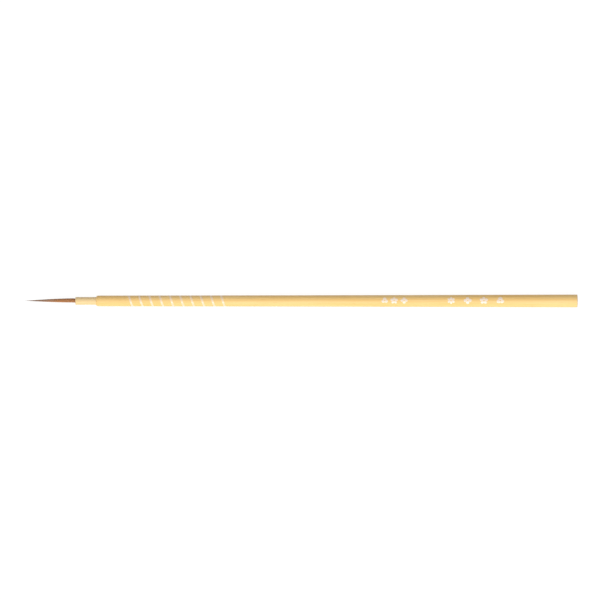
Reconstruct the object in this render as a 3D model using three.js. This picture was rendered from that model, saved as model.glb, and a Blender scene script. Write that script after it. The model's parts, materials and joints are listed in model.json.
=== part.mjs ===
// A fine detail brush: a long, pointed hair tuft, set in a thin bamboo neck tube, which is glued into a
// thicker bamboo shaft with a white lacquer line spiralling round it.
//
// Millimetres, +Z up. The brush lies on its side along X, with the hair towards -X and the butt towards +X.
// Every piece is round about one axis. Places along that axis are counted from the tip of the hair.
import * as THREE from "three";

// ---- driving dimensions -------------------------------------------------------------------------------

const SIDES = 24; // flat sides of a round wooden piece
const HAIR_SIDES = 16; // flat sides of a hair bundle
const FIT_GAP = 0.02; // clearance between two pieces that touch on the real brush

const TUFT = {
  length: 19.0, // what stands out of the neck
  radius: 0.79, // at the mouth of the neck
  fullness: 1.05, // how soon the pointed tuft narrows: 1 is a full belly, 2 is a thin needle
  coat: 0.12, // thickness of the outer coat of dressing hairs
  lifeRadius: 0.2, // the long hairs at the heart, which form the point
  bellyRadius: 0.45, // the belly hairs laid round them
  tipRadius: 0.02,
};

const ROOT = {
  squeezeStart: 20.3, // where the thread begins to draw the bundle in
  squeezeEnd: 21.8,
  squeeze: 0.75, // tied radius as a share of the full radius
  end: 24.6,
  sealThickness: 0.35,
};

const THREAD = { radius: 0.1, turns: 4, pitch: 0.24, start: 22.4, sides: 6, stepsPerTurn: 16 };

const NECK = {
  mouth: TUFT.length,
  visible: 7.7, // between the mouth and the shaft
  radius: 1.455,
  boreRadius: 1.0,
  lip: 0.15, // rounding of the mouth's outer edge
  tenonRadius: 1.33, // the turned-down end that is glued into the shaft
  tenonStart: 27.5,
  end: 34.9,
  bevel: 0.1,
};

const SHAFT = {
  head: NECK.mouth + NECK.visible,
  length: 178.3,
  headRadius: 2.03,
  buttRadius: 2.405,
  taper: 1.5, // how the shaft widens: 1 is evenly, more is mostly towards the butt
  shoulder: { along: 1.1, across: 0.42 }, // the rounded corner round the head
  socketRadius: 1.48,
  socketDepth: 8.6,
  pithRadius: 0.75, // the natural hollow of the bamboo
  bevel: 0.12,
};
SHAFT.butt = SHAFT.head + SHAFT.length;

const TUFT_GLUE = { start: 19.35, end: 26.5, innerRadius: 0.88 };
const NECK_GLUE = { start: 27.6, end: 34.5 };

// The line first crosses the upper side of the shaft 12.75 mm behind the head, and then once a pitch.
const LINE = { firstCrossing: SHAFT.head + 12.75, pitch: 3.8, turns: 10, width: 0.8, film: 0.04 };

// ---- outlines and their helpers -----------------------------------------------------------------------

// Outer radius of the shaft, which widens from its head to its butt.
function shaftRadius(along) {
  const share = (along - SHAFT.head) / SHAFT.length;
  return THREE.MathUtils.lerp(SHAFT.headRadius, SHAFT.buttRadius, share ** SHAFT.taper);
}

// Outer radius of the whole tuft: a point that swells to full thickness at the mouth of the neck.
function tuftRadius(along) {
  const share = Math.min(along / TUFT.length, 1);
  return Math.max(TUFT.tipRadius, TUFT.radius * Math.sin((Math.PI / 2) * share) ** TUFT.fullness);
}

// The place along the tuft's point where its outer radius is the given one.
function placeOfRadius(radius) {
  const sine = (radius / TUFT.radius) ** (1 / TUFT.fullness);
  return (TUFT.length * Math.asin(sine)) / (Math.PI / 2);
}

// How far the thread has drawn the bundle in: 1 in front of the neck, ROOT.squeeze at the root.
function squeezeAt(along) {
  const share = THREE.MathUtils.smoothstep(along, ROOT.squeezeStart, ROOT.squeezeEnd);
  return THREE.MathUtils.lerp(1, ROOT.squeeze, share);
}

// The places at which every hair layer has a ring, so that facing layers keep their gap between the rings.
// They lie closer together towards the tip and where the thread draws the bundle in.
function hairPlaces() {
  const pointSteps = 11;
  const squeezeSteps = 4;
  const point = Array.from({ length: pointSteps + 1 }, (_, i) => TUFT.length * (i / pointSteps) ** 1.4);
  const drawnIn = Array.from({ length: squeezeSteps + 1 }, (_, i) =>
    THREE.MathUtils.lerp(ROOT.squeezeStart, ROOT.squeezeEnd, i / squeezeSteps),
  );
  return [...point, ...drawnIn, ROOT.end];
}

// Turns a profile of (radius, place along the axis) about the X axis. The profile either closes on itself
// or starts and ends on the axis. Half a side of phase puts a flat side underneath.
function turned(profile, sides) {
  return new THREE.LatheGeometry(profile, sides, Math.PI / sides).rotateZ(-Math.PI / 2);
}

// A hair layer between two radii that are functions of the place along the axis.
function hairLayer(inner, outer, front) {
  const shortest = 0.2; // a ring closer than this to the front is left out
  const places = [front, ...hairPlaces().filter((place) => place > front + shortest)];
  const outside = places.map((along) => new THREE.Vector2(outer(along) * squeezeAt(along), along));
  const inside = places.map((along) => new THREE.Vector2(inner(along) * squeezeAt(along), along));
  inside.shift(); // the two outlines meet at the front
  return turned([...outside, ...inside.reverse(), outside[0].clone()], HAIR_SIDES);
}

// ---- the wooden pieces --------------------------------------------------------------------------------

function mainShaft() {
  const { head, butt, shoulder, socketRadius, pithRadius, bevel } = SHAFT;
  const socketEnd = head + SHAFT.socketDepth;
  const faceRadius = SHAFT.headRadius - shoulder.across;
  const wallStart = head + shoulder.along;
  const wallSteps = 12;
  const outline = new THREE.Path();
  outline.moveTo(socketRadius, head);
  outline.lineTo(faceRadius, head);
  outline.absellipse(faceRadius, wallStart, shoulder.across, shoulder.along, -Math.PI / 2, 0);
  for (let i = 1; i <= wallSteps; i++) {
    const along = THREE.MathUtils.lerp(wallStart, butt - bevel, i / wallSteps);
    outline.lineTo(shaftRadius(along), along);
  }
  outline.lineTo(SHAFT.buttRadius - bevel, butt);
  outline.lineTo(pithRadius, butt);
  outline.lineTo(pithRadius, socketEnd);
  outline.lineTo(socketRadius, socketEnd);
  outline.lineTo(socketRadius, head);
  return turned(outline.getPoints(6), SIDES);
}

function neckTube() {
  const { mouth, radius, boreRadius, lip, tenonRadius, tenonStart, end, bevel } = NECK;
  const outline = new THREE.Path();
  outline.moveTo(boreRadius, mouth);
  outline.lineTo(radius - lip, mouth);
  outline.absarc(radius - lip, mouth + lip, lip, -Math.PI / 2, 0);
  outline.lineTo(radius, tenonStart - bevel);
  outline.lineTo(tenonRadius, tenonStart);
  outline.lineTo(tenonRadius, end - bevel);
  outline.lineTo(tenonRadius - bevel, end);
  outline.lineTo(boreRadius, end);
  outline.lineTo(boreRadius, mouth);
  return turned(outline.getPoints(4), SIDES);
}

// ---- what holds the pieces together -------------------------------------------------------------------

// The film of glue between the neck's tenon and the shaft's socket.
function neckAdhesive() {
  const inner = NECK.tenonRadius + FIT_GAP;
  const outer = SHAFT.socketRadius - FIT_GAP;
  const outline = new THREE.Path();
  outline.moveTo(inner, NECK_GLUE.start);
  outline.lineTo(outer, NECK_GLUE.start);
  outline.lineTo(outer, NECK_GLUE.end);
  outline.lineTo(inner, NECK_GLUE.end);
  outline.lineTo(inner, NECK_GLUE.start);
  return turned(outline.getPoints(), SIDES);
}

// The cup of glue that beds the tied root in the neck's bore.
function tuftAdhesive() {
  const outer = NECK.boreRadius - FIT_GAP;
  const floor = ROOT.end + ROOT.sealThickness + 0.3;
  const outline = new THREE.Path();
  outline.moveTo(0, floor);
  outline.lineTo(TUFT_GLUE.innerRadius, floor);
  outline.lineTo(TUFT_GLUE.innerRadius, TUFT_GLUE.start);
  outline.lineTo(outer, TUFT_GLUE.start);
  outline.lineTo(outer, TUFT_GLUE.end);
  outline.lineTo(0, TUFT_GLUE.end);
  return turned(outline.getPoints(), SIDES);
}

// The root's end, seared into one hard, slightly domed pad.
function rootSeal() {
  const radius = TUFT.radius * ROOT.squeeze;
  const front = ROOT.end + FIT_GAP;
  const outline = new THREE.Path();
  outline.moveTo(0, front);
  outline.lineTo(radius, front);
  outline.absellipse(0, front, radius, ROOT.sealThickness, 0, Math.PI / 2);
  return turned(outline.getPoints(4), HAIR_SIDES);
}

// The path of the thread that ties the root: a helix about the X axis.
class ThreadPath extends THREE.Curve {
  getPoint(share, target = new THREE.Vector3()) {
    const angle = share * THREAD.turns * 2 * Math.PI;
    const radius = TUFT.radius * ROOT.squeeze + 1.5 * FIT_GAP + THREAD.radius;
    const along = THREAD.start + share * THREAD.turns * THREAD.pitch;
    return target.set(along, radius * Math.cos(angle), radius * Math.sin(angle));
  }
}

function bindingThread() {
  const section = new THREE.Shape();
  for (let i = 0; i < THREAD.sides; i++) {
    const angle = (i / THREAD.sides) * 2 * Math.PI;
    const point = [THREAD.radius * Math.cos(angle), THREAD.radius * Math.sin(angle)];
    if (i === 0) section.moveTo(...point);
    else section.lineTo(...point);
  }
  const steps = THREAD.turns * THREAD.stepsPerTurn;
  return new THREE.ExtrudeGeometry(section, { steps, extrudePath: new ThreadPath() });
}

// ---- the hair -----------------------------------------------------------------------------------------

// The longest hairs, a slender core from the root to the very tip.
function lifeHairs() {
  const radius = (place) => Math.min(tuftRadius(place), TUFT.lifeRadius) * squeezeAt(place);
  const skin = hairPlaces().map((place) => new THREE.Vector2(radius(place), place));
  return turned([new THREE.Vector2(0, 0), ...skin, new THREE.Vector2(0, ROOT.end)], HAIR_SIDES);
}

// The hairs laid round the core, which give the tuft its swell.
function bellyHairs() {
  const inner = () => TUFT.lifeRadius + FIT_GAP;
  const outer = (along) => Math.min(tuftRadius(along) - TUFT.coat - FIT_GAP, TUFT.bellyRadius);
  return hairLayer(inner, outer, placeOfRadius(inner() + TUFT.coat + FIT_GAP));
}

// The short, stiff hairs near the neck, which make the tuft spring back.
function waistHairs() {
  const inner = () => TUFT.bellyRadius + FIT_GAP;
  const outer = (along) => tuftRadius(along) - TUFT.coat - FIT_GAP;
  return hairLayer(inner, outer, placeOfRadius(inner() + TUFT.coat + FIT_GAP));
}

// The thin outer coat of fine hairs that smooths the tuft.
function dressingHairs() {
  const inner = (along) => Math.max(TUFT.lifeRadius + FIT_GAP, tuftRadius(along) - TUFT.coat);
  return hairLayer(inner, tuftRadius, placeOfRadius(TUFT.lifeRadius + FIT_GAP));
}

// ---- the decoration -----------------------------------------------------------------------------------

// A flat strip wound round the shaft as a right-handed helix about +X. The strip starts as a straight box
// whose length counts turns, and each of its slices is laid over one flat side of the shaft. Its width is
// turned over on the way, so that the faces stay outwards.
function spiralLine() {
  const { turns, pitch, width, film } = LINE;
  const strip = new THREE.BoxGeometry(turns, film, width, turns * SIDES, 1, 1);
  const place = strip.getAttribute("position");
  const middle = LINE.firstCrossing + ((turns - 1) * pitch) / 2;
  for (let i = 0; i < place.count; i++) {
    const turn = place.getX(i);
    const along = middle + turn * pitch - place.getZ(i);
    const radius = shaftRadius(along) + FIT_GAP + film / 2 + place.getY(i);
    // Both ends lie underneath, and half a side of phase lines the slices up with the shaft's edges.
    const angle = turn * 2 * Math.PI - Math.PI / 2 + Math.PI / SIDES;
    place.setXYZ(i, along, radius * Math.cos(angle), radius * Math.sin(angle));
  }
  return strip;
}

// ---- materials ----------------------------------------------------------------------------------------

const material = (color, roughness) => new THREE.MeshStandardMaterial({ color, roughness, metalness: 0 });
const shaftBamboo = material(0xf0cd8c, 0.4);
const neckBamboo = material(0xe6ca90, 0.45);
const glue = material(0xd9b46a, 0.3);
const whiteLacquer = material(0xfbf3ee, 0.35);
const thread = material(0xe9e2d0, 0.8);
const searedHair = material(0x2a1c12, 0.6);
const hair = (color) => material(color, 0.6);

// ---- the assembly -------------------------------------------------------------------------------------

// The brush lies on the front end of its lacquer line and on the edge of its butt. Both touch Z = 0, so
// its axis rises very slightly towards the butt.
function restOf(brush) {
  const flat = Math.cos(Math.PI / SIDES); // from a vertex radius to the middle of a flat side
  const lineFront = LINE.firstCrossing - LINE.pitch / 2;
  const lineDrop = (shaftRadius(lineFront) + FIT_GAP + LINE.film) * flat;
  const buttDrop = SHAFT.buttRadius * flat;
  const tilt = Math.atan((buttDrop - lineDrop) / (SHAFT.butt - SHAFT.bevel - lineFront));
  brush.rotation.y = -tilt;
  brush.position.x = (-SHAFT.butt * Math.cos(tilt)) / 2;
  brush.position.z = lineDrop * Math.cos(tilt) - lineFront * Math.sin(tilt);
}

const brush = new THREE.Group();
function add(name, geometry, look) {
  const mesh = new THREE.Mesh(geometry, look);
  mesh.name = name;
  brush.add(mesh);
}
add("main_shaft", mainShaft(), shaftBamboo);
add("neck_tube", neckTube(), neckBamboo);
add("neck_adhesive", neckAdhesive(), glue);
add("tuft_adhesive", tuftAdhesive(), glue);
add("root_seal", rootSeal(), searedHair);
add("binding_thread", bindingThread(), thread);
add("life_hairs", lifeHairs(), hair(0x7d5a3c));
add("belly_hairs", bellyHairs(), hair(0x8e6239));
add("waist_hairs", waistHairs(), hair(0x7a5028));
add("dressing_hairs", dressingHairs(), hair(0xa57449));
add("spiral_line", spiralLine(), whiteLacquer);
restOf(brush);

const part = new THREE.Group();
part.add(brush);
export default part;
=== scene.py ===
# A fine detail brush on a white table: a two-stage bamboo shaft with a white lacquer spiral and small
# white ornaments, and a long pointed tuft made of separate tapered hairs.
#
# Places along the brush are counted from the mouth of the neck, where the hair comes out: towards the
# butt they are positive, towards the tip negative. Lengths are metres, written as a number times MM.
import json
import math
import random

import bmesh
import bpy
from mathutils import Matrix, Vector, noise


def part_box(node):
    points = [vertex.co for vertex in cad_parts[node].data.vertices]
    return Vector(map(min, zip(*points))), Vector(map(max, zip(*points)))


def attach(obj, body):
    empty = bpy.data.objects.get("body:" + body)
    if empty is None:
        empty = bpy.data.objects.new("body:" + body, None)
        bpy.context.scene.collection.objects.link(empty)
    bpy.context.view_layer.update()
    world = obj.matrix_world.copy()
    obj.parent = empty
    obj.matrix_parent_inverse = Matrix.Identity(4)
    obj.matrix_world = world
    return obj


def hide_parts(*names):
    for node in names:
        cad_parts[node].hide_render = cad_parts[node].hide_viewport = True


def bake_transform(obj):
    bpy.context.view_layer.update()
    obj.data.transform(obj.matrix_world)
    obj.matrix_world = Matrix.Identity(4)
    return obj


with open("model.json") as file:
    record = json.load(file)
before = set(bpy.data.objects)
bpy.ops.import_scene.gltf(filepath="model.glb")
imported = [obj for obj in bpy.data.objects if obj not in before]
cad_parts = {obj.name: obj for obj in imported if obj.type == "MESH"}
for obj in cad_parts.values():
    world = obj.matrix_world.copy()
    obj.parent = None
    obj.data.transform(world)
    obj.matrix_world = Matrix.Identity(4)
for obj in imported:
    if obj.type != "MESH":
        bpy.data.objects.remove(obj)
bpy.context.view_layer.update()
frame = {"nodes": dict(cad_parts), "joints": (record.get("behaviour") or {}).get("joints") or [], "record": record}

MM = 0.001
FULL_TURN = 2 * math.pi


# ---- the brush's axis and its stations, from the frame ---------------------------------------------------

joint = frame["joints"][0]
butt_mount = frame["record"]["mounts"][0]

MOUTH = Vector(joint["pos_m"])
ALONG = Vector(butt_mount["axis"]).normalized()
SIDE = Vector((0, 1, 0))
UP = ALONG.cross(SIDE)


def station(x):
    """The place along the brush that has this X."""
    return (x - MOUTH.x) / ALONG.x


def on_brush(along, radius, angle):
    """A point at a place along the brush. Angle 0 faces +Y, and a quarter turn faces up."""
    return MOUTH + ALONG * along + (SIDE * math.cos(angle) + UP * math.sin(angle)) * radius


def ends_of(node):
    """Where a CAD node starts and ends along the brush."""
    low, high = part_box(node)
    return station(low.x), station(high.x)


def radius_of(node, along, reach=0.2 * MM, pick=max):
    """The outer radius of a CAD node's corners near a place, or the inner one with pick=min."""
    near = []
    for vertex in frame["nodes"][node].data.vertices:
        offset = vertex.co - MOUTH
        place = offset.dot(ALONG)
        if abs(place - along) < reach:
            near.append((offset - ALONG * place).length)
    return pick(near)


TIP, ROOT_END = ends_of("life_hairs")
HEAD, BUTT = ends_of("main_shaft")
NECK_MOUTH, NECK_END = ends_of("neck_tube")
LINE_START, LINE_END = ends_of("spiral_line")
CAD_SIDES = 24
FLAT = math.cos(math.pi / CAD_SIDES)  # a CAD side's middle is this much nearer the axis than its edges
CLOSE = 0.05 * MM  # the reach for a CAD ring that has others near it

SHAFT_SHOULDER = 1.1 * MM
SHAFT_TAPER = 1.5  # the power by which the shaft widens: 1 would be a straight taper
SHAFT_HEAD_RADIUS = radius_of("main_shaft", HEAD + SHAFT_SHOULDER) * FLAT
SHAFT_BUTT_RADIUS = radius_of("main_shaft", BUTT, reach=0.3 * MM) * FLAT
SOCKET_RADIUS = radius_of("main_shaft", HEAD, reach=CLOSE, pick=min)
SOCKET_DEPTH = 8.6 * MM
PITH_RADIUS = radius_of("main_shaft", BUTT, pick=min)
NECK_LIP = 0.15 * MM
NECK_RADIUS = radius_of("neck_tube", NECK_MOUTH + NECK_LIP, reach=CLOSE) * FLAT
NECK_BORE = radius_of("neck_tube", NECK_MOUTH, reach=CLOSE, pick=min)
TENON_BEVEL = 0.1 * MM
TENON_RADIUS = radius_of("neck_tube", NECK_END - TENON_BEVEL, reach=CLOSE) * FLAT
TENON_START = HEAD + 0.8 * MM
TUFT_TRIM = 0.99  # the round tuft's radius as a share of its CAD outline's
TUFT_RADIUS = radius_of("dressing_hairs", 0, reach=0.8 * MM) * TUFT_TRIM
TUFT_SLIMNESS = 1.05  # the power of the tuft's outline: the higher it is, the slimmer the point


# ---- the camera, straight above, a little off the middle of the brush ----------------------------------

VIEW_WIDTH = 222.5 * MM
LENS_MM = 200
SENSOR_MM = 36
CLIP_START = 10 * MM
AIM = Vector((-0.26 * MM, 0.35 * MM, MOUTH.z))

camera = bpy.data.objects.new("camera", bpy.data.cameras.new("camera"))
camera.data.lens = LENS_MM
camera.data.sensor_width = SENSOR_MM
camera.data.clip_start = CLIP_START
camera.location = AIM + Vector((0, 0, VIEW_WIDTH * LENS_MM / SENSOR_MM))
bpy.context.scene.collection.objects.link(camera)
bpy.context.scene.camera = camera


# ---- mesh helpers ----------------------------------------------------------------------------------------

def finished(name, points, faces, materials, slots=None, body="handle", crease=40):
    """A smooth-shaded mesh object with outward faces, riding on a body (None: on no body)."""
    mesh = bpy.data.meshes.new(name)
    mesh.from_pydata([tuple(p) for p in points], [], faces)
    for material in materials:
        mesh.materials.append(material)
    if slots:
        mesh.polygons.foreach_set("material_index", slots)
    shell = bmesh.new()
    shell.from_mesh(mesh)
    bmesh.ops.recalc_face_normals(shell, faces=shell.faces)
    shell.to_mesh(mesh)
    shell.free()
    mesh.shade_smooth()
    mesh.set_sharp_from_angle(angle=math.radians(crease))
    piece = bpy.data.objects.new(name, mesh)
    bpy.context.scene.collection.objects.link(piece)
    if body:
        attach(piece, body)
    return piece


def quads(here, there, sides):
    """The faces between two rings of points whose first points have these numbers."""
    return [(here + k, here + (k + 1) % sides, there + (k + 1) % sides, there + k) for k in range(sides)]


def turned(name, outline, sides, materials, ripple):
    """A round piece about the brush's axis, from a closed outline of (place, radius, material slot).

    The slot is that of the band between a point and the next one. The ripple tells how far the surface
    stands out at a point. An outline whose first and last points have no radius is closed there by a fan
    of faces about the axis."""
    solid = outline[0][1] == 0
    rings = outline[1:-1] if solid else outline
    points = []
    for along, radius, _ in rings:
        for k in range(sides):
            angle = FULL_TURN * k / sides
            points.append(on_brush(along, radius + ripple(along, radius, angle), angle))
    faces = []
    slots = []
    for i in range(len(rings) - 1 if solid else len(rings)):
        faces += quads(i * sides, (i + 1) % len(rings) * sides, sides)
        slots += [rings[i][2]] * sides
    if solid:
        last = len(rings) - 1
        for along, ring, slot in ((outline[0][0], 0, outline[0][2]), (outline[-1][0], last, rings[-1][2])):
            centre = len(points)
            points.append(on_brush(along, 0, 0))
            for k in range(sides):
                faces.append((ring * sides + k, ring * sides + (k + 1) % sides, centre))
                slots.append(slot)
    return finished(name, points, faces, materials, slots)


def rounded(centre_along, centre_radius, size_along, size_radius, start, end, steps, slot):
    """Points of a rounded corner in an outline. Angle 0 points towards the butt, a quarter turn outwards."""
    arc = []
    for i in range(steps + 1):
        angle = start + (end - start) * i / steps
        along = centre_along + size_along * math.cos(angle)
        arc.append((along, centre_radius + size_radius * math.sin(angle), slot))
    return arc


def straight(start, end, steps, slot):
    """Points between two ends of an outline's straight stretch, without the ends themselves."""
    shares = [i / steps for i in range(1, steps)]
    return [(mix(start[0], end[0], share), mix(start[1], end[1], share), slot) for share in shares]


def tube(path, radii, sides, points, faces):
    """Adds a tube with closed ends along a path to the lists of points and faces."""
    base = len(points)
    normal = UP.copy()
    for i, (centre, radius) in enumerate(zip(path, radii)):
        heading = (path[min(i + 1, len(path) - 1)] - path[max(i - 1, 0)]).normalized()
        normal = (normal - heading * normal.dot(heading)).normalized()
        across = heading.cross(normal)
        for k in range(sides):
            angle = FULL_TURN * k / sides
            points.append(centre + (normal * math.cos(angle) + across * math.sin(angle)) * radius)
    last = base + (len(path) - 1) * sides
    for here in range(base, last, sides):
        faces += quads(here, here + sides, sides)
    faces.append(tuple(range(base, base + sides)))
    faces.append(tuple(range(last, last + sides)))


def smooth(share):
    """A share held between 0 and 1, which eases out of the one and into the other."""
    share = min(max(share, 0), 1)
    return share * share * (3 - 2 * share)


def mix(a, b, share):
    """The value this share of the way from a to b."""
    return a + (b - a) * share


# ---- material helpers ------------------------------------------------------------------------------------

class Look:
    """A material with a Principled shader, and short calls for the nodes that feed it."""

    def __init__(self, name, **constants):
        self.material = bpy.data.materials.new(name)
        self.material.use_nodes = True
        self.tree = self.material.node_tree
        self.shader = self.tree.nodes["Principled BSDF"]
        self.place = self.node("ShaderNodeTexCoord").outputs["Object"]
        for socket, value in constants.items():
            self.shader.inputs[socket.replace("_", " ")].default_value = value

    def node(self, kind, inputs=(), **settings):
        made = self.tree.nodes.new(kind)
        for key, value in settings.items():
            setattr(made, key, value)
        for key, value in dict(inputs).items():
            if isinstance(value, bpy.types.NodeSocket):
                self.tree.links.new(value, made.inputs[key])
            else:
                made.inputs[key].default_value = value
        return made

    def feed(self, socket, value):
        self.tree.links.new(value, self.shader.inputs[socket])

    def noise(self, scale, detail, shift=0.0):
        """Noise stretched along the axes: scale is features per metre along X, Y and Z."""
        moved = self.node(
            "ShaderNodeMapping", {"Vector": self.place, "Scale": scale, "Location": (shift, shift, shift)}
        )
        made = self.node(
            "ShaderNodeTexNoise", {"Vector": moved.outputs["Vector"], "Scale": 1.0, "Detail": detail}
        )
        return made.outputs["Fac"]

    def cells(self, scale, scatter):
        """Distance from the middle of the nearest of many spots, in spot widths: scale is spots per metre,
        and scatter runs from 0, an even grid, to 1."""
        made = self.node(
            "ShaderNodeTexVoronoi", {"Vector": self.place, "Scale": scale, "Randomness": scatter}
        )
        return made.outputs["Distance"]

    def from_axis(self):
        """How far a point lies from the brush's axis, in metres."""
        offset = self.node("ShaderNodeVectorMath", {0: self.place, 1: MOUTH}, operation="SUBTRACT")
        along = self.node("ShaderNodeVectorMath", {0: offset.outputs[0], 1: ALONG}, operation="DOT_PRODUCT")
        foot = self.node(
            "ShaderNodeVectorMath", {0: ALONG, "Scale": along.outputs["Value"]}, operation="SCALE"
        )
        distance = self.node(
            "ShaderNodeVectorMath", {0: offset.outputs[0], 1: foot.outputs[0]}, operation="DISTANCE"
        )
        return distance.outputs["Value"]

    def band(self, value, low, high, to_low=0.0, to_high=1.0):
        """value between low and high, spread over to_low to to_high and clamped."""
        made = self.node(
            "ShaderNodeMapRange",
            {"Value": value, "From Min": low, "From Max": high, "To Min": to_low, "To Max": to_high},
        )
        return made.outputs["Result"]

    def spread(self, noise_value, to_low=0.0, to_high=1.0):
        """The swing of a noise, which seldom leaves 0.3 to 0.7, spread over to_low to to_high."""
        return self.band(noise_value, 0.3, 0.7, to_low, to_high)

    def blend(self, share, a, b):
        """Colour a turned into colour b by a share that varies over the surface."""
        made = self.node("ShaderNodeMix", data_type="RGBA")
        for socket, value in ((made.inputs[0], share), (made.inputs[6], a), (made.inputs[7], b)):
            if isinstance(value, bpy.types.NodeSocket):
                self.tree.links.new(value, socket)
            else:
                socket.default_value = value
        return made.outputs[2]

    def math(self, how, a, b):
        return self.node("ShaderNodeMath", {0: a, 1: b}, operation=how).outputs[0]

    def bump(self, height, depth, under=None):
        """Surface relief: height from 0 to 1 stands for depth in metres."""
        inputs = {"Height": height, "Distance": depth, "Strength": 1.0}
        if under:
            inputs["Normal"] = under
        return self.node("ShaderNodeBump", inputs).outputs["Normal"]


def rgb(red, green, blue):
    """A solid linear colour."""
    return (red, green, blue, 1.0)


# ---- materials -------------------------------------------------------------------------------------------

def bamboo_skin(name, pale, golden, fleck, shift):
    """Varnished bamboo skin: lengthwise fibre, slow clouds of colour and a few short brown flecks."""
    look = Look(name, Coat_Weight=0.06, Coat_Roughness=0.3, Specular_IOR_Level=0.25)
    fibre = look.noise((22, 2600, 2600), detail=3, shift=shift)
    fine = look.noise((70, 9000, 9000), detail=2, shift=shift)
    clouds = look.noise((28, 240, 240), detail=2, shift=shift)
    flecks = look.band(look.noise((260, 7000, 7000), detail=1, shift=shift), 0.70, 0.76, 0, 0.55)
    colour = look.blend(look.spread(clouds, 0.2, 0.8), pale, golden)
    streaks = look.blend(look.band(fibre, 0.4, 0.66, 0, 0.8), colour, golden)
    threads = look.blend(look.band(fine, 0.42, 0.7, 0, 0.5), streaks, pale)
    look.feed("Base Color", look.blend(flecks, threads, fleck))
    look.feed("Roughness", look.spread(fine, 0.42, 0.56))
    relief = look.bump(fibre, 0.03 * MM)
    look.feed("Normal", look.bump(fine, 0.006 * MM, under=relief))
    return look.material


def bamboo_cut(name, inner, outer, pale, golden, pore, skin):
    """Sawn end grain between two radii: pale wood with fibre bundles, which are large and sparse towards
    the hollow, small and crowded towards the skin, and a thin dark line of skin round it all."""
    look = Look(name, Specular_IOR_Level=0.25)
    distance = look.from_axis()
    outwards = look.band(distance, mix(inner, outer, 0.3), mix(inner, outer, 0.75))
    large = look.band(look.cells(2700, 0.85), 0.2, 0.3, 0.75, 0.0)
    small = look.band(look.cells(5600, 0.85), 0.3, 0.45, 0.85, 0.0)
    grain = look.noise((3000, 3000, 3000), detail=3)
    wood = look.blend(look.spread(grain, 0, 0.6), pale, golden)
    dense = look.blend(look.spread(grain, 0.3, 1.0), pale, golden)
    surface = look.blend(outwards, look.blend(large, wood, pore), look.blend(small, dense, pore))
    skin_depth = 0.16 * MM
    edge = look.band(distance, outer - skin_depth, outer - skin_depth / 2, 0, 0.85)
    look.feed("Base Color", look.blend(edge, surface, skin))
    look.feed("Roughness", look.spread(grain, 0.65, 0.85))
    look.feed("Normal", look.bump(look.math("SUBTRACT", grain, large), 0.02 * MM))
    return look.material


def bamboo_hollow(name, wood, shade):
    """The dull fibrous wall of the hollow inside the bamboo."""
    look = Look(name, Specular_IOR_Level=0.2)
    fibre = look.noise((90, 4000, 4000), detail=3)
    look.feed("Base Color", look.blend(look.spread(fibre), wood, shade))
    look.feed("Roughness", look.spread(fibre, 0.75, 0.9))
    look.feed("Normal", look.bump(fibre, 0.03 * MM))
    return look.material


def lacquer(name, white, cream):
    """Thin lacquer: creamier where the brush that laid it ran dry and the bamboo shows through."""
    look = Look(name, Coat_Weight=0.2, Coat_Roughness=0.25)
    strokes = look.noise((2500, 2500, 2500), detail=3)
    clouds = look.noise((400, 400, 400), detail=2)
    worn = look.math("MULTIPLY", look.band(strokes, 0.45, 0.8), look.band(clouds, 0.4, 0.7))
    look.feed("Base Color", look.blend(worn, white, cream))
    look.feed("Roughness", look.spread(strokes, 0.3, 0.45))
    look.feed("Normal", look.bump(strokes, 0.008 * MM))
    return look.material


def hair_look(name, root, middle, tip):
    """Animal hair: each hair has a tone of its own, is darker at its root and greyer at its fine tip."""
    look = Look(
        name, Specular_IOR_Level=0.5, Sheen_Weight=0.2, Sheen_Roughness=0.4, Sheen_Tint=rgb(1, 0.75, 0.5)
    )
    tone = look.node("ShaderNodeAttribute", attribute_name="tone").outputs["Fac"]
    reach = look.node("ShaderNodeAttribute", attribute_name="reach").outputs["Fac"]
    scales = look.noise((9000, 30000, 30000), detail=2)
    body = look.blend(look.band(reach, 0.0, 0.35), root, middle)
    ends = look.blend(look.band(reach, 0.5, 0.92), body, tip)
    varied = look.blend(look.band(tone, 0.0, 1.0, 0.0, 0.55), ends, root)
    look.feed("Base Color", look.blend(look.band(scales, 0.45, 0.8, 0.0, 0.3), varied, tip))
    look.feed("Roughness", look.band(tone, 0.0, 1.0, 0.3, 0.45))
    look.feed("Normal", look.bump(scales, 0.001 * MM))
    return look.material


def glue_look(name):
    """Dried amber glue with tiny bubbles and a glossy skin."""
    look = Look(name, Coat_Weight=0.8, Coat_Roughness=0.08, Subsurface_Weight=0.2)
    clouds = look.noise((1500, 1500, 1500), detail=2)
    bubbles = look.band(look.cells(6000, 1.0), 0.1, 0.2, 0.5, 0.0)
    amber = look.blend(look.spread(clouds), rgb(0.62, 0.4, 0.14), rgb(0.42, 0.24, 0.07))
    look.feed("Base Color", look.blend(bubbles, amber, rgb(0.8, 0.65, 0.35)))
    look.feed("Roughness", look.spread(clouds, 0.12, 0.3))
    look.feed("Normal", look.bump(clouds, 0.02 * MM))
    return look.material


def thread_look(name):
    """Undyed thread: fine fuzz over its twisted plies."""
    look = Look(name, Specular_IOR_Level=0.2, Sheen_Weight=0.3)
    fuzz = look.noise((12000, 12000, 12000), detail=3)
    look.feed("Base Color", look.blend(look.spread(fuzz), rgb(0.78, 0.72, 0.6), rgb(0.6, 0.52, 0.4)))
    look.feed("Roughness", look.spread(fuzz, 0.75, 0.95))
    look.feed("Normal", look.bump(fuzz, 0.01 * MM))
    return look.material


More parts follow.
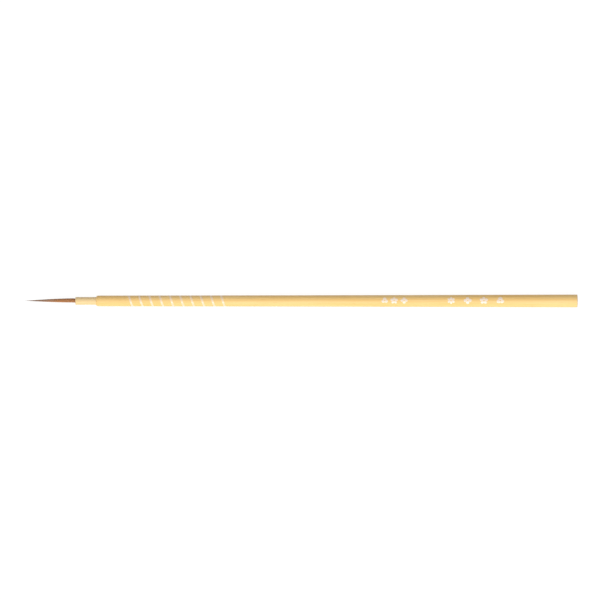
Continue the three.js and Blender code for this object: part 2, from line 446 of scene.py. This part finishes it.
def seared_look(name):
    """Hair ends fused by heat: near black, blistered and slightly glossy."""
    look = Look(name, Specular_IOR_Level=0.5)
    blisters = look.noise((4000, 4000, 4000), detail=4)
    char = look.blend(look.spread(blisters), rgb(0.015, 0.01, 0.008), rgb(0.07, 0.04, 0.02))
    look.feed("Base Color", char)
    look.feed("Roughness", look.spread(blisters, 0.35, 0.7))
    look.feed("Normal", look.bump(blisters, 0.05 * MM))
    return look.material


SHAFT_SKIN = bamboo_skin(
    "shaft_bamboo", rgb(0.91, 0.665, 0.305), rgb(0.835, 0.515, 0.162), rgb(0.5, 0.28, 0.1), shift=0.0
)
NECK_SKIN = bamboo_skin(
    "neck_bamboo", rgb(0.88, 0.69, 0.4), rgb(0.77, 0.535, 0.23), rgb(0.48, 0.3, 0.14), shift=7.0
)
SHAFT_CUT = bamboo_cut(
    "shaft_end_grain", PITH_RADIUS, SHAFT_BUTT_RADIUS,
    rgb(0.8, 0.66, 0.42), rgb(0.68, 0.5, 0.26), rgb(0.34, 0.2, 0.08), rgb(0.4, 0.26, 0.1),
)
NECK_CUT = bamboo_cut(
    "neck_end_grain", NECK_BORE, NECK_RADIUS,
    rgb(0.8, 0.68, 0.46), rgb(0.68, 0.52, 0.3), rgb(0.38, 0.24, 0.11), rgb(0.5, 0.35, 0.17),
)
HOLLOW = bamboo_hollow("bamboo_hollow", rgb(0.5, 0.35, 0.18), rgb(0.3, 0.19, 0.09))
LINE_WHITE = lacquer("line_lacquer", rgb(0.87, 0.68, 0.48), rgb(0.82, 0.6, 0.36))
MARK_WHITE = lacquer("mark_lacquer", rgb(0.88, 0.74, 0.62), rgb(0.82, 0.62, 0.42))
COAT_HAIR = hair_look("coat_hair", rgb(0.37, 0.14, 0.03), rgb(0.44, 0.18, 0.048), rgb(0.25, 0.2, 0.175))
CORE_HAIR = hair_look("core_hair", rgb(0.2, 0.09, 0.035), rgb(0.3, 0.14, 0.06), rgb(0.24, 0.205, 0.19))
GLUE = glue_look("amber_glue")
THREAD = thread_look("thread")
SEARED = seared_look("seared_hair")


# ---- the wooden pieces -----------------------------------------------------------------------------------

SKIN, CUT, INSIDE = 0, 1, 2  # the material slots of the wooden pieces
ONLY = 0  # the slot of a piece with one material


def bamboo_ripple(depth, seed):
    """The slight lengthwise ribs and ovality of real bamboo, on the outer skin only."""
    skin_radius = NECK_RADIUS * 0.98
    ribs_round = 9
    rib_length = 30 * MM
    swells_round = 0.8
    swell_length = 45 * MM
    swell_height = 1.5

    def ripple(along, radius, angle):
        if radius < skin_radius:
            return 0
        round_it = Vector((math.cos(angle), math.sin(angle), 0))
        ribs = noise.noise(round_it * ribs_round + Vector((0, seed, along / rib_length)))
        swell = noise.noise(round_it * swells_round + Vector((seed, 0, along / swell_length)))
        return depth * (ribs + swell_height * swell)

    return ripple


def shaft_radius(along):
    """Outer radius of the shaft, which widens from its head to its butt, mostly near the butt."""
    share = max(along - HEAD, 0) / (BUTT - HEAD)
    return mix(SHAFT_HEAD_RADIUS, SHAFT_BUTT_RADIUS, share**SHAFT_TAPER)


def make_shaft():
    """The bamboo shaft: a rounded head with the neck's socket, a long wall, and a sawn butt with its pith."""
    shoulder_across = 0.42 * MM
    bevel = 0.12 * MM
    rim = 0.06 * MM
    face_radius = SHAFT_HEAD_RADIUS - shoulder_across
    shoulder_end = HEAD + SHAFT_SHOULDER
    socket_end = HEAD + SOCKET_DEPTH
    outline = [(HEAD, SOCKET_RADIUS, CUT)]
    outline += rounded(
        shoulder_end, face_radius, SHAFT_SHOULDER, shoulder_across, math.pi, math.pi / 2, 8, SKIN
    )
    wall_steps = 110
    for i in range(1, wall_steps):
        along = mix(shoulder_end, BUTT - bevel, i / wall_steps)
        outline.append((along, shaft_radius(along), SKIN))
    outline += rounded(BUTT - bevel, SHAFT_BUTT_RADIUS - bevel, bevel, bevel, math.pi / 2, 0, 4, CUT)
    outline += straight((BUTT, SHAFT_BUTT_RADIUS - bevel), (BUTT, PITH_RADIUS + rim), 5, CUT)
    outline += rounded(BUTT - rim, PITH_RADIUS + rim, rim, -rim, 0, math.pi / 2, 3, INSIDE)
    outline += straight((BUTT - rim, PITH_RADIUS), (socket_end, PITH_RADIUS), 20, INSIDE)
    outline += [(socket_end, PITH_RADIUS, INSIDE), (socket_end, SOCKET_RADIUS, INSIDE)]
    outline += straight((socket_end, SOCKET_RADIUS), (HEAD, SOCKET_RADIUS), 4, INSIDE)
    materials = [SHAFT_SKIN, SHAFT_CUT, HOLLOW]
    shaft = turned("bamboo_shaft", outline, 144, materials, bamboo_ripple(depth=0.006 * MM, seed=3))
    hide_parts("main_shaft")


def make_neck():
    """The thin bamboo tube: a rounded mouth, an outer wall, and a thinner tenon that goes into the shaft."""
    edge = 0.05 * MM
    outline = [(NECK_MOUTH + edge, NECK_BORE, CUT)]
    outline += rounded(NECK_MOUTH + edge, NECK_BORE + edge, edge, -edge, math.pi / 2, math.pi, 3, CUT)[1:]
    outline += rounded(
        NECK_MOUTH + NECK_LIP, NECK_RADIUS - NECK_LIP, NECK_LIP, NECK_LIP, math.pi, math.pi / 2, 6, SKIN
    )
    outline += straight((NECK_MOUTH + NECK_LIP, NECK_RADIUS), (TENON_START, NECK_RADIUS), 14, SKIN)
    outline += [(TENON_START - TENON_BEVEL, NECK_RADIUS, CUT), (TENON_START, TENON_RADIUS, CUT)]
    outline += straight((TENON_START, TENON_RADIUS), (NECK_END, TENON_RADIUS), 8, CUT)
    outline += [(NECK_END - TENON_BEVEL, TENON_RADIUS, CUT), (NECK_END, TENON_RADIUS - TENON_BEVEL, CUT)]
    outline.append((NECK_END, NECK_BORE, INSIDE))
    outline += straight((NECK_END, NECK_BORE), (NECK_MOUTH, NECK_BORE), 8, INSIDE)
    materials = [NECK_SKIN, NECK_CUT, HOLLOW]
    neck = turned("bamboo_neck", outline, 112, materials, bamboo_ripple(depth=0.005 * MM, seed=11))
    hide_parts("neck_tube")


# ---- glue, thread and the seared root --------------------------------------------------------------------

GLUE_GAP = 0.02 * MM  # between the glue and the wood, as in the CAD model


def wavy(depth, seed):
    """Uneven glue or fused hair: soft lumps all over."""
    lumps_round = 1.5
    lump_length = 1.2 * MM

    def ripple(along, radius, angle):
        round_it = Vector((math.cos(angle), math.sin(angle), 0))
        return depth * noise.noise(round_it * lumps_round + Vector((seed, seed, along / lump_length)))

    return ripple


def make_neck_glue():
    """The film of glue round the tenon, with rounded ends."""
    start, end = ends_of("neck_adhesive")
    inner = TENON_RADIUS + GLUE_GAP
    outer = SOCKET_RADIUS - GLUE_GAP
    middle = (inner + outer) / 2
    half = (outer - inner) / 2
    outline = rounded(end - half, middle, half, half, -math.pi / 2, math.pi / 2, 6, ONLY)
    outline += straight((end - half, outer), (start + half, outer), 12, ONLY)
    outline += rounded(start + half, middle, half, half, math.pi / 2, 1.5 * math.pi, 6, ONLY)
    outline += straight((start + half, inner), (end - half, inner), 12, ONLY)
    film = turned("neck_glue_film", outline, 72, [GLUE], wavy(depth=0.006 * MM, seed=2))
    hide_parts("neck_adhesive")


def make_tuft_glue():
    """The cup of glue round the root of the hair, with a floor behind it."""
    start, end = ends_of("tuft_adhesive")
    outer = NECK_BORE - GLUE_GAP
    inner = radius_of("tuft_adhesive", start, reach=CLOSE, pick=min)
    floor = ROOT_END + 0.65 * MM
    slope = 0.2 * MM  # from the cup's floor to its wall
    corner = 0.4 * MM
    climb = 0.12 * MM  # the glue creeps up the wall of the bore and up the hair
    mouth_steps = 8
    outline = [(floor, 0, ONLY), (floor, inner * 0.5, ONLY), (floor - slope, inner, ONLY)]
    outline += straight((floor - slope, inner), (start, inner), 10, ONLY)
    for i in range(mouth_steps + 1):
        across = i / mouth_steps
        dip = climb * math.sin(math.pi * across)
        outline.append((start + dip, mix(inner, outer, across), ONLY))
    outline += straight((start, outer), (end, outer), 12, ONLY)
    outline += rounded(end - corner, outer - corner, corner, corner, math.pi / 2, 0, 5, ONLY)
    outline.append((end, 0, ONLY))
    cup = turned("root_glue", outline, 72, [GLUE], wavy(depth=0.008 * MM, seed=5))
    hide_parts("tuft_adhesive")


def make_root_seal():
    """The seared ends of the hair: a flat pad with a domed back."""
    start, end = ends_of("root_seal")
    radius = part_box("root_seal")[1].y
    near_axis = 0.02  # the dome's arc stops at this angle, and a point on the axis closes it
    outline = [(start, 0, ONLY)] + straight((start, 0), (start, radius), 5, ONLY)
    outline += rounded(start, 0, end - start, radius, math.pi / 2, near_axis, 10, ONLY)
    outline.append((end, 0, ONLY))
    pad = turned("seared_root", outline, 64, [SEARED], wavy(depth=0.03 * MM, seed=8))
    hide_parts("root_seal")


def make_thread():
    """Two plies twisted about each other, wound round the root."""
    start, end = ends_of("binding_thread")
    thickness = 0.2 * MM
    turns = 4
    twists = 44
    ply_radius = 0.054 * MM
    ply_offset = 0.045 * MM  # from the middle of the thread to the middle of a ply
    coil_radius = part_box("binding_thread")[1].y - thickness / 2
    steps_per_turn = 48
    steps = turns * steps_per_turn
    sides = 7
    points, faces = [], []
    for ply in (0, 1):
        path = []
        for i in range(steps + 1):
            share = i / steps
            angle = share * turns * FULL_TURN
            twist = share * twists * FULL_TURN + ply * math.pi
            along = mix(start + thickness / 2, end - thickness / 2, share) + math.cos(twist) * ply_offset
            path.append(on_brush(along, coil_radius + math.sin(twist) * ply_offset, angle))
        tube(path, [ply_radius] * len(path), sides, points, faces)
    binding = finished("root_thread", points, faces, [THREAD], crease=80)
    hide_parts("binding_thread")


# ---- the hair --------------------------------------------------------------------------------------------

# Each layer: how many hairs, the radii between which they lie at the neck, how far from the very tip the
# longest and the shortest of them end, both in millimetres, and how strongly the ends crowd towards the tip.
HAIR_LAYERS = {
    "life_hairs": {"count": 40, "lie": (0.0, 0.2), "ends": (0.0, 3.0), "crowd": 2.2},
    "belly_hairs": {"count": 72, "lie": (0.2, 0.45), "ends": (3.2, 9.5), "crowd": 1.0},
    "waist_hairs": {"count": 96, "lie": (0.45, 0.68), "ends": (7.0, 14.0), "crowd": 1.0},
    "dressing_hairs": {"count": 180, "lie": (0.7, 0.785), "ends": (0.8, 12.0), "crowd": 1.5},
}
HAIR_RADIUS = 0.042 * MM
HAIR_THINNING = 0.6  # the share of its thickness that a hair loses by its end
STRAY = 0.014 * MM  # how far the end of a stray hair stands out of the tuft
COAT_LIE = 0.69 * MM  # hairs further out than this lie on the surface all the way
HAIR_LEAN = 0.2 * MM  # the tuft stands a little off the middle of the bore, towards +Y
TIP_LEAN = 0.08 * MM  # and its tip comes back towards the axis
LEAN_START = 0.9 * MM  # the lean begins this far inside the bore
LEAN_LENGTH = 1.8 * MM
SQUEEZE = 0.75  # the tied root's radius as a share of the tuft's
SQUEEZE_START = 1.3 * MM
SQUEEZE_END = 2.8 * MM


def tuft_radius(along):
    """Outer radius of the tuft: a point that swells to full thickness at the neck, then the tied root."""
    share = min(max((along - TIP) / -TIP, 0), 1)
    body = TUFT_RADIUS * math.sin(math.pi / 2 * share) ** TUFT_SLIMNESS
    tied = smooth((along - SQUEEZE_START) / (SQUEEZE_END - SQUEEZE_START))
    return body * mix(1, SQUEEZE, tied)


def soft_least(a, b):
    """The lesser of two lengths, with the corner between them rounded off a little."""
    sharpness = 12
    tiny = 1e-7
    return (max(a, tiny) ** -sharpness + max(b, tiny) ** -sharpness) ** (-1 / sharpness)


def hair_path(lie, share_of_layer, angle, end, dice):
    """One hair from its root to its end: its path, and its radius and its share of the way at each point."""
    steps = 30
    sway = [dice.uniform(-1, 1) for _ in range(4)]
    lift = max(0, dice.gauss(0, 0.6)) * STRAY
    path, radii, reaches = [], [], []
    for i in range(steps + 1):
        share = i / steps
        along = mix(ROOT_END, end, share**0.85)
        reach = min(max(along / end, 0), 1)
        thickness = HAIR_RADIUS * (1 - HAIR_THINNING * reach**3)
        room = max(tuft_radius(along) - thickness, 0)
        squeeze = tuft_radius(max(along, 0)) / TUFT_RADIUS
        radius = soft_least(lie * squeeze, share_of_layer * room) if lie < COAT_LIE else share_of_layer * room
        radius += lift * smooth((reach - 0.75) / 0.25)
        lean = SIDE * mix(HAIR_LEAN, TIP_LEAN, along / TIP) * smooth((LEAN_START - along) / LEAN_LENGTH)
        slow_turn = 0.05 * sway[0] * math.sin(5 * reach + 3 * sway[1])
        quick_turn = 0.04 * sway[2] * math.sin(11 * reach + sway[3])
        turn = (slow_turn + quick_turn) * smooth(reach * 4)
        path.append(on_brush(along, radius, angle + turn) + lean)
        radii.append(thickness)
        reaches.append(reach)
    return path, radii, reaches


def make_hair(layer, seed):
    """One layer of separate hairs, laid evenly round the axis, with ends in a random order of length."""
    facts = HAIR_LAYERS[layer]
    dice = random.Random(seed)
    count = facts["count"]
    inner, outer = (lie * MM for lie in facts["lie"])
    sides = 6
    points, faces, tones, reaches = [], [], [], []
    order = list(range(count))
    dice.shuffle(order)
    golden = math.pi * (3 - math.sqrt(5))
    for i in range(count):
        filled = (i + 0.5) / count
        lie = math.sqrt(mix(inner**2, outer**2, filled))
        rank = order[i] / (count - 1)
        end = TIP + mix(facts["ends"][0], facts["ends"][1], rank ** facts["crowd"]) * MM
        share_of_layer = lie / outer if layer in ("life_hairs", "dressing_hairs") else min(lie / outer, 0.9)
        path, radii, reach = hair_path(lie, share_of_layer, i * golden, end, dice)
        tube(path, radii, sides, points, faces)
        tone = dice.random()
        for value in reach:
            tones += [tone] * sides
            reaches += [value] * sides
    look = COAT_HAIR if layer == "dressing_hairs" else CORE_HAIR
    hairs = finished(layer.replace("_hairs", "_strands"), points, faces, [look], body=None, crease=80)
    for name, values in (("tone", tones), ("reach", reaches)):
        hairs.data.attributes.new(name, "FLOAT", "POINT").data.foreach_set("value", values)
    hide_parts(layer)
    bend_with_tuft(hairs)


def bend_with_tuft(piece):
    """Bakes the hair's placement into its mesh."""
    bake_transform(piece)


# ---- the white decoration --------------------------------------------------------------------------------

FILM = 0.03 * MM  # how far the line stands above the bamboo, and the ornaments a little less
SUNK = 0.012 * MM  # how far its edge goes under, so that no gap shows


def make_spiral():
    """The white line: a right-handed helix with a slightly uneven, hand-laid edge."""
    pitch = 3.8 * MM
    width = 0.8 * MM
    turns = 10
    start = (LINE_START + LINE_END - turns * pitch) / 2
    steps_per_turn = 84
    steps = turns * steps_per_turn
    taper_turns = 1 / 14  # the part of a turn over which the line thins out at each end
    unevenness = 0.05
    section = (
        (-1, -SUNK), (-0.97, FILM * 0.55), (-0.82, FILM), (0, FILM),
        (0.82, FILM), (0.97, FILM * 0.55), (1, -SUNK),
    )
    count = len(section)
    points, faces = [], []
    for i in range(steps + 1):
        turn = i / steps * turns
        from_end = min(turn, turns - turn)
        taper = math.sqrt(min(from_end / taper_turns, 1))
        angle = (turn - 0.25) * FULL_TURN  # a quarter turn back from +Y is the underside
        for across, height in section:
            edge = unevenness * noise.noise(Vector((turn * 5, across * 3, 0)))
            along = start + turn * pitch + across * (0.5 + edge) * width * taper
            points.append(on_brush(along, shaft_radius(along) + height, angle))
    last = steps * count
    for here in range(0, last, count):
        faces += quads(here, here + count, count)
    faces.append(tuple(range(count)))
    faces.append(tuple(range(last, last + count)))
    spiral = finished("spiral_film", points, faces, [LINE_WHITE], crease=60)
    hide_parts("spiral_line")


# Plain rosettes: their place behind the head and their reach from the middle, both in millimetres, and how
# many petals they have.
ORNAMENTS = (
    (106.9, 1.2, 3), (110.4, 1.35, 5), (114.1, 1.25, 4),
    (131.5, 1.4, 6), (137.6, 1.4, 4), (143.6, 1.5, 5), (149.7, 1.4, 3),
)
ORNAMENT_SHIFT = 0.2 * MM  # they sit a little to the +Y side of the top
PETAL_ROOT = 0.45  # how far out the notches between the petals begin, as a share of the reach


def make_ornament(number, behind_head, reach, petals):
    """One flat flower of lacquer with a pierced middle, laid on the top of the shaft."""
    middle = HEAD + behind_head * MM
    hole = 0.16 * reach * MM
    unevenness = 0.05
    stretch = 1.06  # a little longer along the shaft than round it
    sides = 24 * petals
    rows = (
        (0.0, -SUNK), (0.06, FILM * 0.5), (0.3, FILM * 0.7), (0.7, FILM * 0.7), (0.95, FILM * 0.5),
        (1.0, -SUNK), (0.66, -SUNK), (0.33, -SUNK),
    )
    points, faces = [], []
    for share, height in rows:
        for k in range(sides):
            angle = FULL_TURN * k / sides
            notch = abs(math.cos(petals * angle / 2)) ** 0.6
            spot = Vector((3 * math.cos(angle), 3 * math.sin(angle), number * 7))
            rim = reach * MM * mix(PETAL_ROOT, 1, notch) * (1 + unevenness * noise.noise(spot))
            distance = mix(hole, rim, share)
            along = middle + distance * math.sin(angle) * stretch
            across = ORNAMENT_SHIFT + distance * math.cos(angle)
            radius = shaft_radius(along)
            points.append(on_brush(along, radius + height, math.pi / 2 - across / radius))
    for row in range(len(rows)):
        faces += quads(row * sides, (row + 1) % len(rows) * sides, sides)
    ornament = finished(f"rosette_{number}", points, faces, [MARK_WHITE], crease=60)


# ---- the stage -------------------------------------------------------------------------------------------

TABLE_SIZE = 8
DOME_RADIUS = 3.9
SKY_STRENGTH = 0.38


def glowing(name, grey, roughness, strength):
    """A dull grey material that gives off white light."""
    return Look(
        name, Base_Color=rgb(grey, grey, grey), Roughness=roughness, Specular_IOR_Level=0.0,
        Emission_Color=rgb(1, 1, 1), Emission_Strength=strength,
    ).material


def make_floor():
    """A plain white table that glows, like a light table."""
    bpy.ops.mesh.primitive_plane_add(size=TABLE_SIZE)
    floor = bpy.context.object
    floor.name = "floor"
    floor.data.materials.append(glowing("white_table", grey=0.1, roughness=0.9, strength=0.95))


def add_softbox(name, place, size, watts, colour):
    """A rectangular light that faces the middle of the brush."""
    light = bpy.data.lights.new(name, "AREA")
    light.shape = "RECTANGLE"
    light.size, light.size_y = size
    light.energy = watts
    light.color = colour
    softbox = bpy.data.objects.new(name, light)
    softbox.location = place
    softbox.rotation_euler = (-Vector(place)).to_track_quat("-Z", "Y").to_euler()
    bpy.context.scene.collection.objects.link(softbox)


def make_backdrop():
    """A white dome round the table. Only the camera sees it, so that it sheds no light on the brush."""
    bpy.ops.mesh.primitive_uv_sphere_add(segments=48, ring_count=24, radius=DOME_RADIUS)
    dome = bpy.context.object
    dome.name = "backdrop"
    dome.visible_diffuse = False
    dome.visible_glossy = False
    dome.visible_transmission = False
    dome.visible_shadow = False
    material = glowing("white_backdrop", grey=0.0, roughness=1.0, strength=1.0)
    material.cycles.emission_sampling = "NONE"
    dome.data.materials.append(material)


def make_light():
    """One large softbox high on the -Y side, and an even pale sky."""
    add_softbox("key", place=(0.0, -0.56, 0.87), size=(1.2, 0.4), watts=11.5, colour=(1.0, 0.99, 0.97))
    world = bpy.context.scene.world or bpy.data.worlds.new("world")
    bpy.context.scene.world = world
    world.use_nodes = True
    sky = world.node_tree.nodes["Background"]
    sky.inputs["Color"].default_value = rgb(1, 1, 1)
    sky.inputs["Strength"].default_value = SKY_STRENGTH
    bpy.context.scene.view_settings.view_transform = "Standard"


# ---- the whole brush -------------------------------------------------------------------------------------

make_shaft()
make_neck()
make_neck_glue()
make_tuft_glue()
make_root_seal()
make_thread()
for seed, layer in enumerate(HAIR_LAYERS, start=1):
    make_hair(layer, seed)
make_spiral()
for number, facts in enumerate(ORNAMENTS, start=1):
    make_ornament(number, *facts)
make_floor()
make_backdrop()
make_light()
